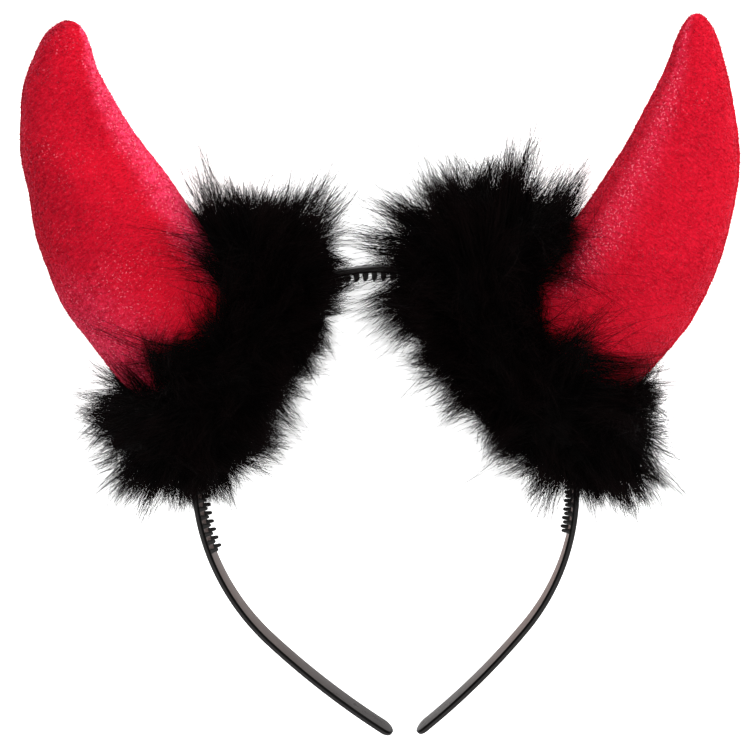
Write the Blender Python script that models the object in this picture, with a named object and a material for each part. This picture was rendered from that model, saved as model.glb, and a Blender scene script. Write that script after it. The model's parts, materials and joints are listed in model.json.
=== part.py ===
"""Devil horns headband, lying on its back.

A black plastic hairband with two rows of comb teeth inside, two stuffed velvet horns seated on its
outer face, and a thick ring of black fur around the foot of each horn, through which the band runs.

Metres, +Z up. +Y runs from the ends of the band to its crown, and +X to the right as it is looked
down on. The band's own plane is tilted, because its crown rides up on the fur and its two ends
touch the floor. The origin is the middle of the underside of the whole object's box.
"""
from math import ceil, cos, inf, pi, radians, sin, sqrt
import random

import bmesh
import bpy
from mathutils import Euler, Matrix, Vector

# The gap that is left wherever two pieces seat on or pass through each other
GAP = 0.0003

# Hairband: centreline of three tangent arcs on each side, from the crown down to the end, whose
# half circle stops this share of its radius short, so that the last section keeps a width
BAND_WIDTH = 0.0070
BAND_THICKNESS = 0.0018
BAND_CHAMFER = 0.0005
CROWN_RADIUS = 0.0500
CROWN_SWEEP = radians(41.5)
SIDE_RADIUS = 0.0705
SIDE_SWEEP = radians(90)
LEG_RADIUS = 0.240
LEG_SWEEP = radians(11.5)
ARC_STEP = radians(4)
LEG_STEPS = 4
END_STEPS = 4
END_STOP = 0.01

# Comb: two rows of tapered teeth on the inner face, up to this turn of the band from the crown
COMB_SWEEP = radians(104)
TOOTH_PITCH = 0.00275
TOOTH_LENGTH = 0.0023
TOOTH_ROOT = 0.0015
TOOTH_TIP = 0.0010
TOOTH_SINK = 0.0006
TOOTH_SIDES = 4
ROW_SPACING = 0.0043

# How far the plane of the band tips up from the floor at the crown
REST_TILT = radians(10.5)

# Horns: where each seats, as a turn of the band from the crown, how far it is twisted down from
# square on the band, its sizes, its curl towards the crown and its lean to the front, which is
# full from this share of the length on. The rounded tip takes the last share of the length, and
# its last section stops a small share of that short of the point
LEAN_SHARE = 0.25
HORN_SIDES = 16
HORN_RINGS = 15
SPINE_STEPS = 6
TIP_SHARE = 0.08
TIP_RINGS = 4
TIP_STOP = 0.005
HORNS = {
    "left": {
        "side": -1,
        "seat": radians(54),
        "twist": radians(0),
        "length": 0.110,
        "width": 0.049,
        "depth": 0.030,
        "curl": radians(83),
        "lean": radians(10),
    },
    "right": {
        "side": 1,
        "seat": radians(59),
        "twist": radians(6.5),
        "length": 0.108,
        "width": 0.046,
        "depth": 0.030,
        "curl": radians(66),
        "lean": radians(10),
    },
}
# Shares: how far up the horn, of the curl, of the width at the foot, of the depth at the foot
HORN_COLUMNS = ("along", "curl", "width", "depth")
HORN_SECTIONS = {
    "left": (
        (0.00, 0.00, 0.97, 0.90),
        (0.12, 0.14, 1.00, 1.00),
        (0.25, 0.29, 0.98, 1.00),
        (0.40, 0.41, 0.93, 0.95),
        (0.55, 0.46, 0.81, 0.84),
        (0.70, 0.53, 0.65, 0.69),
        (0.82, 0.69, 0.48, 0.53),
        (0.92, 0.87, 0.31, 0.37),
        (1.00, 1.00, 0.22, 0.27),
    ),
    "right": (
        (0.00, 0.00, 0.97, 0.90),
        (0.12, 0.17, 1.00, 1.00),
        (0.25, 0.34, 0.98, 1.00),
        (0.40, 0.52, 0.92, 0.94),
        (0.55, 0.66, 0.78, 0.81),
        (0.70, 0.79, 0.60, 0.64),
        (0.82, 0.88, 0.42, 0.47),
        (0.92, 0.95, 0.26, 0.31),
        (1.00, 1.00, 0.18, 0.22),
    ),
}

# Fur: a backing ring around the foot of each horn, and locks that stand on it. A lock keeps its
# taper up to its shoulder and then runs to a point. Its length spreads about LOCK_LENGTH and is
# less on a small face. Locks stand on the side that faces away from the horn
LOCK_LENGTH = 0.0075
LOCK_ROOT = 0.0060
LOCK_TAPER = 0.66
LOCK_SWAY = 0.0016
LOCK_SHOULDER = 0.45
LOCK_SPREAD = (0.75, 1.30)
LOCK_SHORTEST = 0.4
LOCK_FREE_SIDE = -0.1
FUR_INNER = 0.0070
FUR_STATIONS = 22
FUR_SIDES = 12
FURS = {
    "left": {"reach": 0.0150, "rise": 0.0230, "fall": 0.0190, "seed": 3},
    "right": {"reach": 0.0180, "rise": 0.0250, "fall": 0.0250, "seed": 8},
}
# Turn around the horn from its crown side by way of the front, then shares of reach, rise and fall
FUR_COLUMNS = ("around", "reach", "rise", "fall")
FUR_SECTIONS = {
    "left": (
        (0.00, 1.78, 1.18, 1.00),
        (0.12, 1.35, 0.46, 1.03),
        (0.25, 0.85, 0.55, 1.03),
        (0.38, 1.05, 0.78, 1.02),
        (0.50, 1.45, 1.15, 0.98),
        (0.75, 0.80, 0.90, 0.95),
    ),
    "right": (
        (0.00, 1.90, 1.25, 1.05),
        (0.12, 1.35, 0.50, 1.00),
        (0.25, 0.85, 0.50, 0.94),
        (0.38, 1.05, 0.68, 0.72),
        (0.50, 1.38, 1.00, 0.56),
        (0.75, 0.70, 0.90, 0.95),
    ),
}

SHARP_ANGLE = radians(40)
FLOOR_BLOCK = (0.6, 0.6, 0.1)

COLOURS = {
    "band_plastic": ((0.006, 0.006, 0.007, 1), 0.25),
    "horn_velvet": ((0.55, 0.006, 0.022, 1), 0.85),
    "black_fur": ((0.004, 0.004, 0.005, 1), 0.90),
}


def clear_objects():
    for thing in list(bpy.data.objects):
        bpy.data.objects.remove(thing, do_unlink=True)


def collection(name):
    made = bpy.data.collections.new(name)
    bpy.context.scene.collection.children.link(made)
    return made


def material(name):
    colour, roughness = COLOURS[name]
    made = bpy.data.materials.new(name)
    made.use_nodes = True
    shader = made.node_tree.nodes["Principled BSDF"]
    shader.inputs["Base Color"].default_value = colour
    shader.inputs["Roughness"].default_value = roughness
    shader.inputs["Metallic"].default_value = 0.0
    made.diffuse_color = colour
    return made


def mesh_object(name, mesh_tools, home, finish=None, parent=None):
    """Give a bmesh an object of its own, with faces that point outwards"""
    bmesh.ops.recalc_face_normals(mesh_tools, faces=mesh_tools.faces)
    mesh = bpy.data.meshes.new(name)
    mesh_tools.to_mesh(mesh)
    mesh_tools.free()
    thing = bpy.data.objects.new(name, mesh)
    home.objects.link(thing)
    if finish:
        mesh.materials.append(finish)
        mesh.shade_smooth()
        mesh.set_sharp_from_angle(angle=SHARP_ANGLE)
    thing.parent = parent
    return thing


def as_cutter(thing):
    thing.hide_render = True
    thing.display_type = "WIRE"
    return thing


def boolean(thing, other, operation):
    step = thing.modifiers.new(f"{operation.lower()} {other.name}", "BOOLEAN")
    step.operation = operation
    step.object = other
    step.solver = "EXACT"


def loft(rings, closed=False):
    """Skin rings of points that have the same count, with end caps or as one closed loop"""
    tools = bmesh.new()
    rows = [[tools.verts.new(point) for point in ring] for ring in rings]
    count = len(rows[0])
    pairs = list(zip(rows, rows[1:]))
    if closed:
        pairs.append((rows[-1], rows[0]))
    for lower, upper in pairs:
        for k in range(count):
            after = (k + 1) % count
            tools.faces.new((lower[k], lower[after], upper[after], upper[k]))
    if not closed:
        tools.faces.new(rows[0])
        tools.faces.new(rows[-1])
    return tools


def smooth_between(rows, at, column, loop=False):
    """Read a table column at a place of its first column, on a smooth curve through the rows"""
    if loop:
        at = at % 1.0
        rows = [(rows[-1][0] - 1.0,) + rows[-1][1:], *rows, (1.0,) + rows[0][1:],
                (1.0 + rows[1][0],) + rows[1][1:]]
    last = len(rows) - 1
    k = max(j for j in range(last) if rows[j][0] <= at or j == 0)
    k = min(k, last - 1)

    def slope(j):
        before, behind = max(j - 1, 0), min(j + 1, last)
        return (rows[behind][column] - rows[before][column]) / (rows[behind][0] - rows[before][0])

    span = rows[k + 1][0] - rows[k][0]
    t = (at - rows[k][0]) / span
    start, end = rows[k][column], rows[k + 1][column]
    return (
        start * (2 * t**3 - 3 * t**2 + 1)
        + end * (3 * t**2 - 2 * t**3)
        + slope(k) * span * (t**3 - 2 * t**2 + t)
        + slope(k + 1) * span * (t**3 - t**2)
    )


def band_point(turn):
    """Centreline point and outward direction of the right half, at a turn from the crown"""
    arcs = (
        (CROWN_RADIUS, CROWN_SWEEP),
        (SIDE_RADIUS, SIDE_SWEEP),
        (LEG_RADIUS, LEG_SWEEP),
    )
    at = Vector((0, 0, 0))
    done = 0.0
    for number, (radius, sweep) in enumerate(arcs):
        outward = Vector((sin(done), cos(done), 0))
        centre = at - outward * radius
        upto = min(sweep, turn - done) if number < len(arcs) - 1 else turn - done
        outward = Vector((sin(done + upto), cos(done + upto), 0))
        at = centre + outward * radius
        done += upto
        if turn <= done:
            break
    return at, outward


def full_turn():
    return CROWN_SWEEP + SIDE_SWEEP + LEG_SWEEP


def half_turns():
    """Turns of the band from the crown at which its sections stand, on one side"""
    turns = []
    start = 0.0
    for sweep in (CROWN_SWEEP, SIDE_SWEEP):
        steps = ceil(sweep / ARC_STEP)
        turns += [start + sweep * k / steps for k in range(steps)]
        start += sweep
    rounded = (BAND_WIDTH / 2) / LEG_RADIUS
    turns += [start + (LEG_SWEEP - rounded) * k / LEG_STEPS for k in range(LEG_STEPS)]
    turns += [full_turn() - rounded * (1 - sin(pi / 2 * k / END_STEPS)) for k in range(END_STEPS)]
    return turns + [full_turn() - rounded * END_STOP]


def width_at(turn):
    """Width of the band, which closes in a half circle over its last half width"""
    left = (full_turn() - turn) * LEG_RADIUS
    short = max(0.0, 1 - left / (BAND_WIDTH / 2))
    return BAND_WIDTH * sqrt(1 - short**2)


def band_section(turn, side, grow=0.0, inner_grow=0.0):
    """Section of the band, flat with small chamfers along its edges"""
    at, outward = band_point(turn)
    half_width = width_at(turn) / 2 + grow
    outer = BAND_THICKNESS / 2 + grow
    inner = outer + inner_grow
    chamfer = min(BAND_CHAMFER, half_width / 2)
    corners = (
        (outer, half_width - chamfer),
        (outer - chamfer, half_width),
        (chamfer - inner, half_width),
        (-inner, half_width - chamfer),
        (-inner, chamfer - half_width),
        (chamfer - inner, -half_width),
        (outer - chamfer, -half_width),
        (outer, chamfer - half_width),
    )
    return [
        Vector((side * (at.x + outward.x * out), at.y + outward.y * out, up)) for out, up in corners
    ]


def band_loft(grow=0.0, inner_grow=0.0, upto=None):
    turns = [turn for turn in half_turns() if upto is None or turn < upto]
    if upto is not None:
        turns.append(upto)
    left = [band_section(turn, -1, grow, inner_grow) for turn in reversed(turns[1:])]
    right = [band_section(turn, 1, grow, inner_grow) for turn in turns]
    return loft(left + right)


def turn_at_length(length):
    """Turn of the band from the crown, at a length along its centreline"""
    crown = CROWN_RADIUS * CROWN_SWEEP
    if length <= crown:
        return length / CROWN_RADIUS
    return CROWN_SWEEP + (length - crown) / SIDE_RADIUS


def comb_teeth():
    """Tapered teeth in two rows, pointing to the middle of the head, as one mesh"""
    tools = bmesh.new()
    length = CROWN_RADIUS * CROWN_SWEEP + SIDE_RADIUS * (COMB_SWEEP - CROWN_SWEEP)
    half_count = int(length / TOOTH_PITCH)
    root_level = BAND_THICKNESS / 2 - TOOTH_SINK
    height = TOOTH_SINK + TOOTH_LENGTH
    across_flats = 2 * cos(pi / TOOTH_SIDES)
    for number in range(-half_count, half_count + 1):
        side = -1 if number < 0 else 1
        at, outward = band_point(turn_at_length(abs(number) * TOOTH_PITCH))
        at.x *= side
        outward.x *= side
        along = Vector((outward.y, -outward.x, 0))
        for row in (-1, 1):
            foot = at - outward * root_level + Vector((0, 0, row * ROW_SPACING / 2))
            frame = Matrix((along, Vector((0, 0, 1)), -outward)).transposed().to_4x4()
            frame.translation = foot - outward * height / 2
            bmesh.ops.create_cone(
                tools,
                cap_ends=True,
                segments=TOOTH_SIDES,
                radius1=TOOTH_ROOT / across_flats,
                radius2=TOOTH_TIP / across_flats,
                depth=height,
                matrix=frame @ Matrix.Rotation(pi / TOOTH_SIDES, 4, "Z"),
            )
    return tools


def make_band(home, cutters, root):
    """The moulded hairband: one bent strip with the comb fused to its inner face"""
    band = mesh_object("band", band_loft(), home, material("band_plastic"), root)
    teeth = as_cutter(mesh_object("comb_teeth", comb_teeth(), cutters, None, root))
    boolean(band, teeth, "UNION")
    return band


def make_seat(name, home, root):
    """An empty on the centreline under a horn: its Y axis points out from the head"""
    size = HORNS[name]
    at, outward = band_point(size["seat"])
    side = size["side"]
    seat = bpy.data.objects.new(f"seat_{name}", None)
    home.objects.link(seat)
    seat.location = (side * at.x, at.y, 0)
    seat.rotation_euler = Euler((0, 0, -side * (size["seat"] + size["twist"])))
    seat.parent = root
    return seat


def horn_stations():
    """Shares of the horn's length at which its sections stand, closer over the rounded tip"""
    body = [(1 - TIP_SHARE) * k / HORN_RINGS for k in range(HORN_RINGS)]
    tip = [1 - TIP_SHARE * (1 - sin(pi / 2 * k / TIP_RINGS)) for k in range(TIP_RINGS)]
    return body + tip + [1 - TIP_SHARE * TIP_STOP]


def foot_level(name):
    """Level of a horn's flat foot in its seat, where it clears the round of the band by the gap"""
    return SIDE_RADIUS * (1 - cos(HORNS[name]["twist"])) + BAND_THICKNESS / 2 + GAP


def horn_rings(name, grow=0.0):
    """Oval sections along the spine of a horn, in the frame of its seat"""
    size = HORNS[name]
    rows = HORN_SECTIONS[name]
    columns = {title: number for number, title in enumerate(HORN_COLUMNS)}
    crown = Vector((-size["side"], 0, 0))
    spine = Vector((0, foot_level(name) - grow, 0))
    reached = 0.0
    rings = []

    def directions(along):
        curl = smooth_between(rows, along, columns["curl"]) * size["curl"]
        lean = min(1.0, along / LEAN_SHARE) * size["lean"]
        outward = Vector((0, cos(lean), sin(lean)))
        ahead = outward * cos(curl) + crown * sin(curl)
        across = crown * cos(curl) - outward * sin(curl)
        return ahead, across, Vector((0, -sin(lean), cos(lean)))

    for station in horn_stations():
        step = (station - reached) / SPINE_STEPS
        for k in range(SPINE_STEPS):
            ahead, across, front = directions(reached + step * (k + 0.5))
            spine = spine + ahead * step * size["length"]
        reached = station
        ahead, across, front = directions(station)
        rounding = sqrt(1 - max(0.0, (station - 1 + TIP_SHARE) / TIP_SHARE) ** 2)
        width = smooth_between(rows, station, columns["width"]) * size["width"] * rounding
        depth = smooth_between(rows, station, columns["depth"]) * size["depth"] * rounding
        ring = []
        for k in range(HORN_SIDES):
            turn = 2 * pi * k / HORN_SIDES
            side = across * (width / 2 + grow) * cos(turn)
            ring.append(spine + side + front * (depth / 2 + grow) * sin(turn))
        rings.append(ring)
    return rings


def make_horn(name, home, seat):
    """A stuffed velvet horn: two crescent panels sewn edge to edge, flat at the foot"""
    finish = bpy.data.materials.get("horn_velvet") or material("horn_velvet")
    return mesh_object(f"horn_{name}", loft(horn_rings(name)), home, finish, seat)


def fur_shares(name, around):
    columns = {title: number for number, title in enumerate(FUR_COLUMNS)}
    rows = FUR_SECTIONS[name]
    return [
        smooth_between(rows, around, columns[title], loop=True) for title in FUR_COLUMNS[1:]
    ]


def fur_ring(name):
    """Backing ring around the foot of a horn, as closed sections from its crown side round"""
    size = FURS[name]
    horn = HORNS[name]
    crownward = -horn["side"]
    rings = []
    for station in range(FUR_STATIONS):
        around = station / FUR_STATIONS
        turn = 2 * pi * around
        reach, rise, fall = fur_shares(name, around)
        half_width, half_depth = horn["width"] / 2, horn["depth"] / 2
        wall = Vector((half_width * cos(turn), 0, half_depth * sin(turn)))
        away = Vector((cos(turn) / half_width, 0, sin(turn) / half_depth)).normalized()
        top = size["rise"] * rise - LOCK_LENGTH / 2
        bottom = size["fall"] * fall - LOCK_LENGTH / 2
        out = size["reach"] * reach - LOCK_LENGTH / 2
        ring = []
        for k in range(FUR_SIDES):
            angle = 2 * pi * (k + 0.5) / FUR_SIDES
            sideways = (out if cos(angle) > 0 else FUR_INNER) * cos(angle)
            level = (top + bottom) / 2 * sin(angle) + (top - bottom) / 2
            point = wall + away * sideways + Vector((0, level, 0))
            point.x *= crownward
            ring.append(point)
        rings.append(ring)
    return rings


def raise_locks(tools, name):
    """Draw each outer face of a backing ring out into a tapering, swaying lock"""
    luck = random.Random(FURS[name]["seed"])
    sides = FUR_SIDES
    tools.faces.ensure_lookup_table()
    outer = []
    for number, face in enumerate(tools.faces):
        k = number % sides
        middle_angle = 2 * pi * (k + 1) / sides
        if cos(middle_angle) > LOCK_FREE_SIDE:
            outer.append(face)
    for face in outer:
        corners = list(face.verts)
        normal = face.normal.copy()
        centre = face.calc_center_median()
        fullness = min(1.0, min(edge.calc_length() for edge in face.edges) / LOCK_ROOT)
        shorter = LOCK_SHORTEST + (1 - LOCK_SHORTEST) * fullness
        length = LOCK_LENGTH * luck.uniform(*LOCK_SPREAD) * shorter
        sway = Vector([luck.uniform(-1, 1) * LOCK_SWAY * fullness for _ in range(3)])
        made = bmesh.ops.extrude_discrete_faces(tools, faces=[face])["faces"][0]
        for corner in made.verts:
            shift = (corner.co - centre) * LOCK_TAPER
            corner.co = centre + shift + (normal * length + sway) * LOCK_SHOULDER
        tip = centre + normal * length + sway
        point = bmesh.ops.poke(tools, faces=[made])["verts"][0]
        point.co = tip


def make_fur(name, home, cutters, seat, band_room, floor):
    """Ring of locks on its backing, open for the horn's foot and slotted for the band"""
    finish = bpy.data.materials.get("black_fur") or material("black_fur")
    tools = loft(fur_ring(name), closed=True)
    bmesh.ops.recalc_face_normals(tools, faces=tools.faces)
    tools.normal_update()
    raise_locks(tools, name)
    fur = mesh_object(f"fur_{name}", tools, home, finish, seat)
    horn_room = mesh_object(f"room_horn_{name}", loft(horn_rings(name, GAP)), cutters, None, seat)
    boolean(fur, as_cutter(horn_room), "DIFFERENCE")
    boolean(fur, band_room, "DIFFERENCE")
    boolean(fur, floor, "DIFFERENCE")
    return fur


def make_floor(cutters):
    """A block under the floor plane, which presses the fur flat where it rests"""
    tools = bmesh.new()
    bmesh.ops.create_cube(tools, size=1.0)
    floor = as_cutter(mesh_object("floor_block", tools, cutters))
    floor.scale = FLOOR_BLOCK
    floor.location.z = -FLOOR_BLOCK[2] / 2
    return floor


def world_corners(things):
    """Lowest and highest world corner of some objects, with their modifiers"""
    bpy.context.view_layer.update()
    graph = bpy.context.evaluated_depsgraph_get()
    low = Vector((inf, inf, inf))
    high = -low
    for thing in things:
        seen = thing.evaluated_get(graph)
        for vertex in seen.data.vertices:
            place = seen.matrix_world @ vertex.co
            low = Vector(map(min, low, place))
            high = Vector(map(max, high, place))
    return low, high


def build():
    clear_objects()
    parts = collection("devil_horns_headband")
    cutters = collection("cutters")
    root = bpy.data.objects.new("root", None)
    parts.objects.link(root)
    root.rotation_euler = Euler((REST_TILT, 0, 0))

    band = make_band(parts, cutters, root)
    low, high = world_corners([band])
    root.location.z = -low.z

    room = band_loft(GAP, TOOTH_LENGTH, upto=COMB_SWEEP)
    band_room = as_cutter(mesh_object("room_band", room, cutters, None, root))
    floor = make_floor(cutters)
    things = [band]
    for name in HORNS:
        seat = make_seat(name, parts, root)
        things.append(make_horn(name, parts, seat))
        things.append(make_fur(name, parts, cutters, seat, band_room, floor))

    low, high = world_corners(things)
    root.location.x = -(low.x + high.x) / 2
    root.location.y = -(low.y + high.y) / 2
    bpy.context.view_layer.update()


build()
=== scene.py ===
# %% [markdown]
# A devil horns headband, dressed cell by cell
#
# The solid model of the headband already has its true sizes: a plastic hairband with two rows of
# comb teeth, two stuffed velvet horns and a ring of deep fur around the foot of each. This script
# loads it as a fixed frame and gives every piece the surface that one sees and touches: moulded
# plastic that is polished, with a reflection painted on its inner face, velvet with its nap, and
# fur of about a hundred thousand separate hairs.

# %% Load the frame
import json
from math import atan2, cos, pi, radians, sin

import bpy
import numpy as np
from mathutils import Matrix, Vector


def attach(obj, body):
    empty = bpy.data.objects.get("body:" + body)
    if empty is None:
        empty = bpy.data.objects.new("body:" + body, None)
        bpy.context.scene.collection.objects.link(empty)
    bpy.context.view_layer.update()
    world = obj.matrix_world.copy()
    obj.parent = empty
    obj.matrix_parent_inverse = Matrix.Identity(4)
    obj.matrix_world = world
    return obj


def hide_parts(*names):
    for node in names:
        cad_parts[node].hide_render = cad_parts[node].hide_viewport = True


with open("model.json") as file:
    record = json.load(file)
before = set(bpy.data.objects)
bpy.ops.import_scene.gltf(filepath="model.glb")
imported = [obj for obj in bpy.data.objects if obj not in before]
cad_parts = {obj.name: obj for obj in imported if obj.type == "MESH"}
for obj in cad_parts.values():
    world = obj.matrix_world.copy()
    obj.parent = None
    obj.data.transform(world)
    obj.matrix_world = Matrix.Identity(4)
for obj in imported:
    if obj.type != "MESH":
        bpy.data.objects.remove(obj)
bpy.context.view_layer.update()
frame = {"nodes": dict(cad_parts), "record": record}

print("solid pieces:", ", ".join(sorted(frame["nodes"])))

# %% [markdown]
# The headband lies on its back, so the plane of the band is tilted: its crown rides up on the fur
# while its two ends touch the table. All pieces are easier to describe in the band's own frame,
# with the crown at the origin, +Y pointing out of the top of the head and +Z to the wearer's
# front. The seat of the crown in the record gives both the place and the tilt of that frame.

# %% The band's own frame
BAND_WIDTH = 0.0070
BAND_THICKNESS = 0.0018
crown_seat = next(mount for mount in frame["record"]["mounts"] if mount["name"] == "crown_seat")
seat_axis = Vector(crown_seat["axis"])
CROWN = Vector(crown_seat["pos_m"]) - seat_axis * BAND_THICKNESS / 2
REST_TILT = atan2(-seat_axis.z, -seat_axis.y)
BAND_TO_ROW = Matrix.Translation(CROWN) @ Matrix.Rotation(REST_TILT, 4, "X")


def transformed(points, matrix):
    """Rows of points, moved by a 4 by 4 matrix"""
    matrix = np.array(matrix)
    return points @ matrix[:3, :3].T + matrix[:3, 3]


print(f"tilt of the band {np.degrees(REST_TILT):.1f} degrees, crown {CROWN.z * 1000:.1f} mm up")

# %% [markdown]
# Thin plastic, velvet nap and hair all come down to the same thing: very many small faces on
# rows of points. Adding them one by one with an operator would take minutes, so every mesh here
# is worked out in arrays and handed over in one go. One helper makes the object, turns it into
# the row frame and ties it to the body of the part.

# %% Meshes from arrays
BODY = "root"
TRIANGLES = {}


def mesh_piece(name, points, quads, triangles, finish, slot, stands_for, smooth=True):
    """An object from rows of points in the band's frame and rows of corner numbers"""
    quads = np.asarray(quads, np.int32).reshape(-1, 4)
    triangles = np.asarray(triangles, np.int32).reshape(-1, 3)
    mesh = bpy.data.meshes.new(name)
    mesh.vertices.add(len(points))
    mesh.vertices.foreach_set("co", transformed(points, BAND_TO_ROW).astype(np.float32).ravel())
    corners = np.concatenate((quads.ravel(), triangles.ravel()))
    mesh.loops.add(len(corners))
    mesh.loops.foreach_set("vertex_index", corners)
    starts = np.concatenate((
        np.arange(len(quads)) * 4,
        len(quads) * 4 + np.arange(len(triangles)) * 3,
    ))
    mesh.polygons.add(len(starts))
    mesh.polygons.foreach_set("loop_start", starts.astype(np.int32))
    mesh.update(calc_edges=True)
    if smooth:
        mesh.shade_smooth()
    mesh.materials.append(finish)
    piece = bpy.data.objects.new(name, mesh)
    bpy.context.scene.collection.objects.link(piece)
    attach(piece, BODY)
    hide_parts(stands_for)
    TRIANGLES[name] = len(quads) * 2 + len(triangles)
    print(f"{name}: {TRIANGLES[name]} triangles")
    return piece


def ring_quads(rings, columns):
    """Corner numbers of the quads between rings of points that lie one after another"""
    row, column = (grid.ravel() for grid in np.meshgrid(np.arange(rings - 1), np.arange(columns)))
    after = (column + 1) % columns
    return np.stack((
        row * columns + column,
        row * columns + after,
        (row + 1) * columns + after,
        (row + 1) * columns + column,
    ), axis=1)


def tube_faces(rings, columns, flip):
    """Quads along a tube of rings, and fans to the two points after them that close its ends"""
    column = np.arange(columns)
    after = (column + 1) % columns
    last_ring, centre = (rings - 1) * columns, np.full(columns, rings * columns)
    caps = np.vstack((
        np.stack((after, column, centre), axis=1),
        np.stack((last_ring + column, last_ring + after, centre + 1), axis=1),
    ))
    quads = ring_quads(rings, columns)
    if flip:
        return quads[:, ::-1], caps
    return quads, caps[:, (1, 0, 2)]


def add_values(piece, **titles):
    """Store numbers for each point of a mesh, for its material to read"""
    for title, values in titles.items():
        attribute = piece.data.attributes.new(title, "FLOAT", "POINT")
        attribute.data.foreach_set("value", np.asarray(values, np.float32).ravel())


# %% [markdown]
# A finish is a tree of shader nodes. Wiring such a tree by hand hides the idea behind the wires,
# so two small classes let it be written as sums. A Socket is the output of a node, and Python's
# own signs work on it: mask * 2 + 0.1 adds its Math nodes. A Finish is the material itself, and
# its one method makes any other node from its type, its settings and its sockets.

# %% Shader expressions
class Socket:
    """The output of a node, on which Python's signs add Math nodes"""

    def __init__(self, finish, output):
        self.finish = finish
        self.output = output

    def math(self, operation, first, second):
        return self.finish.node("ShaderNodeMath", {"operation": operation}, {0: first, 1: second})

    def __add__(self, other):
        return self.math("ADD", self, other)

    def __radd__(self, other):
        return self.math("ADD", other, self)

    def __sub__(self, other):
        return self.math("SUBTRACT", self, other)

    def __rsub__(self, other):
        return self.math("SUBTRACT", other, self)

    def __mul__(self, other):
        return self.math("MULTIPLY", self, other)

    def __rmul__(self, other):
        return self.math("MULTIPLY", other, self)


class Finish:
    """A material that is written as expressions"""

    def __init__(self, name):
        self.material = bpy.data.materials.new(name)
        self.material.use_nodes = True
        self.tree = self.material.node_tree
        self.tree.nodes.clear()

    def node(self, kind, settings=None, sockets=None, output=0):
        """A node of any type, with its settings first and then its sockets' values or links"""
        made = self.tree.nodes.new(kind)
        for title, value in (settings or {}).items():
            setattr(made, title, value)
        for title, value in (sockets or {}).items():
            if isinstance(value, Socket):
                self.tree.links.new(value.output, made.inputs[title])
            else:
                made.inputs[title].default_value = value
        return Socket(self, made.outputs[output]) if len(made.outputs) else None

    def place(self):
        """Where a point is on the object, in metres"""
        return self.node("ShaderNodeTexCoord", output="Object")

    def value_of(self, title):
        """A number that the mesh stores for each of its points"""
        return self.node("ShaderNodeAttribute", {"attribute_name": title}, output="Fac")

    def noise(self, place, per_metre, detail=2.0, roughness=0.5):
        sockets = {"Vector": place, "Scale": per_metre, "Detail": detail, "Roughness": roughness}
        return self.node("ShaderNodeTexNoise", sockets=sockets, output="Fac")

    def step(self, value, low, high):
        """0 below low, 1 above high, and smooth between them"""
        settings = {"interpolation_type": "SMOOTHSTEP"}
        sockets = {"Value": value, "From Min": low, "From Max": high}
        return self.node("ShaderNodeMapRange", settings, sockets)

    def blend(self, share, first, second):
        """From the first colour to the second as share goes from 0 to 1"""
        sockets = {0: share, 6: first, 7: second}
        return self.node("ShaderNodeMix", {"data_type": "RGBA"}, sockets, output=2)

    def relief(self, height, depth, strength=1.0):
        sockets = {"Height": height, "Distance": depth, "Strength": strength}
        return self.node("ShaderNodeBump", sockets=sockets, output="Normal")

    def surface(self, sockets):
        shader = self.node("ShaderNodeBsdfPrincipled", sockets=sockets, output="BSDF")
        self.node("ShaderNodeOutputMaterial", sockets={"Surface": shader})
        return self.material


# %% [markdown]
# The hairband is one moulding of black plastic. Its steel mould is polished, but the melt shrinks
# a little as it cools and handling leaves hairline scratches. A low, wide waviness bends the
# reflections, a fine grain breaks them up, and the gloss varies a little. All of these are far
# below a tenth of a millimetre, which makes them a matter for bump and roughness and not for the
# mesh. The inner face gets a painted reflection, a brownish grey in its colour that stands in for
# the light it mirrors, and the rounded edges beside it get painted shade, so the mesh will say
# where these two are.

# %% Black moulded plastic
# Each pair runs from its darker to its lighter smudges
POLISHED = (0.0200, 0.0195, 0.0195, 1), (0.0380, 0.0360, 0.0360, 1)
# Painted reflection: brownish greys that stand in for the light the inner face mirrors
REFLECTION_BROWNS = (0.1750, 0.1180, 0.1060, 1), (0.2400, 0.1750, 0.1600, 1)
# Painted shade: near black for the rounded edges beside the inner face
EDGE_SHADE_BLACK = (0.0020, 0.0018, 0.0016, 1)
SCRATCH_STRETCH = (160.0, 2400.0, 900.0)
PLASTIC_RELIEF = 0.00025

plastic = Finish("black_moulded_plastic")
where = plastic.place()
inner_face, rounded = plastic.value_of("inner_face"), plastic.value_of("rounded")
waviness = plastic.noise(where, 130.0, 1.0)
grain = plastic.noise(where, 2600.0, 3.0)
smudges = plastic.noise(where, 240.0, 4.0, 0.6)
stretched = plastic.node(
    "ShaderNodeMapping", {"vector_type": "POINT"}, {"Vector": where, "Scale": SCRATCH_STRETCH}
)
scratches = plastic.step(plastic.noise(stretched, 1.0, 2.0), 0.60, 0.68)
# Painted reflection on the inner face, over the plastic's own black and its smudges
reflected_face = plastic.blend(
    inner_face, plastic.blend(smudges, *POLISHED), plastic.blend(smudges, *REFLECTION_BROWNS)
)
PLASTIC = plastic.surface({
    "Base Color": plastic.blend(rounded, reflected_face, EDGE_SHADE_BLACK),
    "Roughness": 0.20 + smudges * 0.14 + scratches * 0.10 + inner_face * 0.25,
    "IOR": 1.50,
    "Specular IOR Level": 0.04,
    "Normal": plastic.relief(waviness + grain * 0.10 - scratches * 0.05, PLASTIC_RELIEF),
})
print("plastic nodes:", len(plastic.tree.nodes))

# %% [markdown]
# The line of the band is drawn with a compass: on each side a tight arc over the crown, a wide
# arc down the side of the head and a nearly straight leg, each starting in the direction in which
# the last one ends. Measuring along this line makes it easy to space teeth evenly, so one
# function gives the point and the outward direction for any length from the crown.

# %% The line of the band
CROWN_RADIUS, CROWN_SWEEP = 0.0500, radians(41.5)
SIDE_RADIUS = 0.0705
ARCS = ((CROWN_RADIUS, CROWN_SWEEP), (SIDE_RADIUS, radians(90)), (0.240, radians(11.5)))
HALF_BAND = sum(radius * sweep for radius, sweep in ARCS)


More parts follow.
